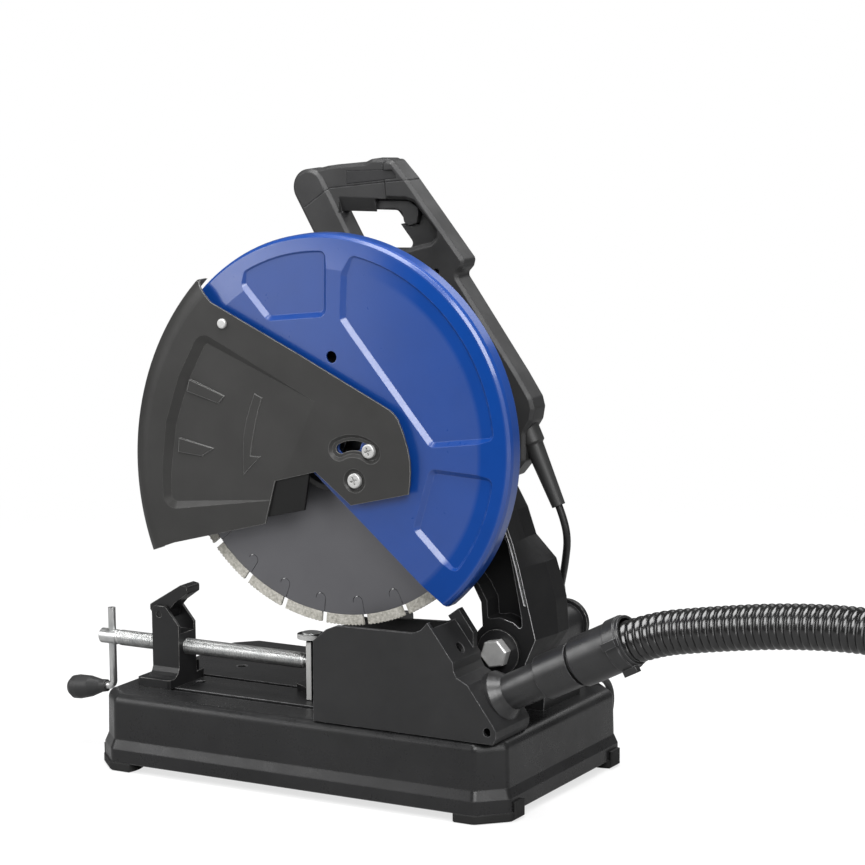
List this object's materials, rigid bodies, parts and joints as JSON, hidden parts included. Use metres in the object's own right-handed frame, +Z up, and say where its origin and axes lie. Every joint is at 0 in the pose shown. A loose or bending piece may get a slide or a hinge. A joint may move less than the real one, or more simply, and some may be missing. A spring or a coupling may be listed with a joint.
{
  "type": "cut-off saw",
  "caption": "Bench-top cut-off saw with a hinged, guarded segmented blade, a screw vise on a pressed base, a dust box with ribbed hose, and a mains cord.",
  "frame": {"origin": "on the floor, at the middle of the saw without its hose and cord", "axes": "+X from the crank to the hinge, +Y to the motor side, +Z up"},
  "size_m": [1.2853, 0.4116, 0.5813],
  "materials": {
    "base_paint": "semi-gloss black paint",
    "rubber": "matt black rubber",
    "arm_paint": "satin dark grey paint on a casting",
    "guard_blue": "glossy blue paint",
    "swing_grey": "satin dark grey paint",
    "dark_plastic": "textured dark grey plastic",
    "soft_grip": "soft grip rubber",
    "zinc": "bright zinc",
    "black_steel": "black finish, bright at the edges",
    "steel": "turned steel",
    "blade_steel": "polished steel disc",
    "grit": "sintered grit",
    "iron": "laminated iron",
    "hose_plastic": "glossy black plastic",
    "cord_rubber": "black rubber sheath",
    "brass": "nickelled brass"
  },
  "bodies": {
    "base": {"base_pan": "base_paint", "foot_near_left": "rubber", "foot_near_right": "rubber", "foot_far_left": "rubber", "foot_far_right": "rubber", "hinge_post": "base_paint", "hinge_bolt": "zinc", "hinge_washer": "black_steel", "hinge_cap": "black_steel", "return_spring": "steel", "dust_box": "dark_plastic", "dust_pipe": "dark_plastic", "hose_cuff": "dark_plastic", "hose": "hose_plastic", "hose_connector": "dark_plastic", "fence": "base_paint", "fence_bolts": "zinc", "vise_bracket": "black_steel", "bracket_bolts": "black_steel", "vise_lever_pin": "black_steel", "cord_clip": "dark_plastic", "cord_coil": "cord_rubber", "cord_tie": "rubber", "plug": "cord_rubber", "plug_pins": "brass"},
    "release_lever": {"vise_lever": "black_steel"},
    "jaw": {"vise_jaw": "black_steel", "jaw_pin": "zinc"},
    "screw": {"vise_screw": "zinc", "crank_rod": "zinc"},
    "knob": {"crank_knob": "dark_plastic"},
    "arm": {"arm_casting": "arm_paint", "spindle_bearing": "steel", "guard_cover": "guard_blue", "guard_rear": "swing_grey", "motor_housing": "dark_plastic", "motor_cap": "dark_plastic", "stator": "iron", "brush_upper": "iron", "brush_lower": "iron", "handle_body": "dark_plastic", "handle_cap": "dark_plastic", "grip_inlay": "soft_grip", "switch_block": "dark_plastic", "cord_boot": "rubber", "cord_free": "cord_rubber", "swing_pivot_bolt": "zinc", "swing_stop_bolt": "zinc"},
    "swing": {"swing_guard": "swing_grey", "swing_lock_screw": "zinc"},
    "blade": {"spindle": "steel", "inner_flange": "steel", "outer_flange": "black_steel", "blade_bolt": "zinc", "blade_core": "blade_steel", "blade_segments": "grit", "drive_gear": "steel"},
    "rotor": {"armature": "iron", "fan": "dark_plastic"},
    "switch_trigger": {"trigger": "dark_plastic"}
  },
  "joints": [
    {"name": "arm_hinge", "type": "hinge", "parent": "base", "child": "arm", "pos_m": [0.183, 0, 0.142], "axis": [0, -1, 0], "range_deg": [0, 28], "stiffness_Nm_per_rad": 30, "springref_deg": -68.75, "deforming": ["cord_free"]},
    {"name": "blade_spin", "type": "hinge", "parent": "arm", "child": "blade", "pos_m": [0.03, -0.088, 0.3325], "axis": [0, 1, 0], "continuous": true},
    {"name": "rotor_spin", "type": "hinge", "parent": "arm", "child": "rotor", "pos_m": [0.01, 0.04, 0.3745], "axis": [0, 1, 0], "continuous": true},
    {"name": "guard_swing", "type": "hinge", "parent": "arm", "child": "swing", "pos_m": [0.066, -0.116, 0.3], "axis": [0, 1, 0], "range_deg": [0, 42]},
    {"name": "trigger_pull", "type": "hinge", "parent": "arm", "child": "switch_trigger", "pos_m": [0.014, 0.0135, 0.5365], "axis": [0, -1, 0], "range_deg": [0, 7], "stiffness_Nm_per_rad": 0.6, "springref_deg": -17.19},
    {"name": "jaw_slide", "type": "slide", "parent": "base", "child": "jaw", "axis": [1, 0, 0], "range_m": [-0.1, 0.012]},
    {"name": "screw_turn", "type": "hinge", "parent": "jaw", "child": "screw", "pos_m": [-0.245, -0.0605, 0.111], "axis": [1, 0, 0], "range_deg": [-9000, 1080]},
    {"name": "knob_turn", "type": "hinge", "parent": "screw", "child": "knob", "pos_m": [-0.2925, -0.0605, 0.05453], "axis": [0.9888, 0, 0.1494], "continuous": true},
    {"name": "lever_tip", "type": "hinge", "parent": "base", "child": "release_lever", "pos_m": [-0.1794, -0.0605, 0.1426], "axis": [0, -1, 0], "range_deg": [0, 60]}
  ],
  "couplings": [
    {"joint": "rotor_spin", "follows": "blade_spin", "ratio": -4.2044},
    {"joint": "guard_swing", "follows": "arm_hinge", "ratio": 1.5},
    {"joint": "screw_turn", "follows": "jaw_slide", "rad_per_m": 1570.8}
  ]
}
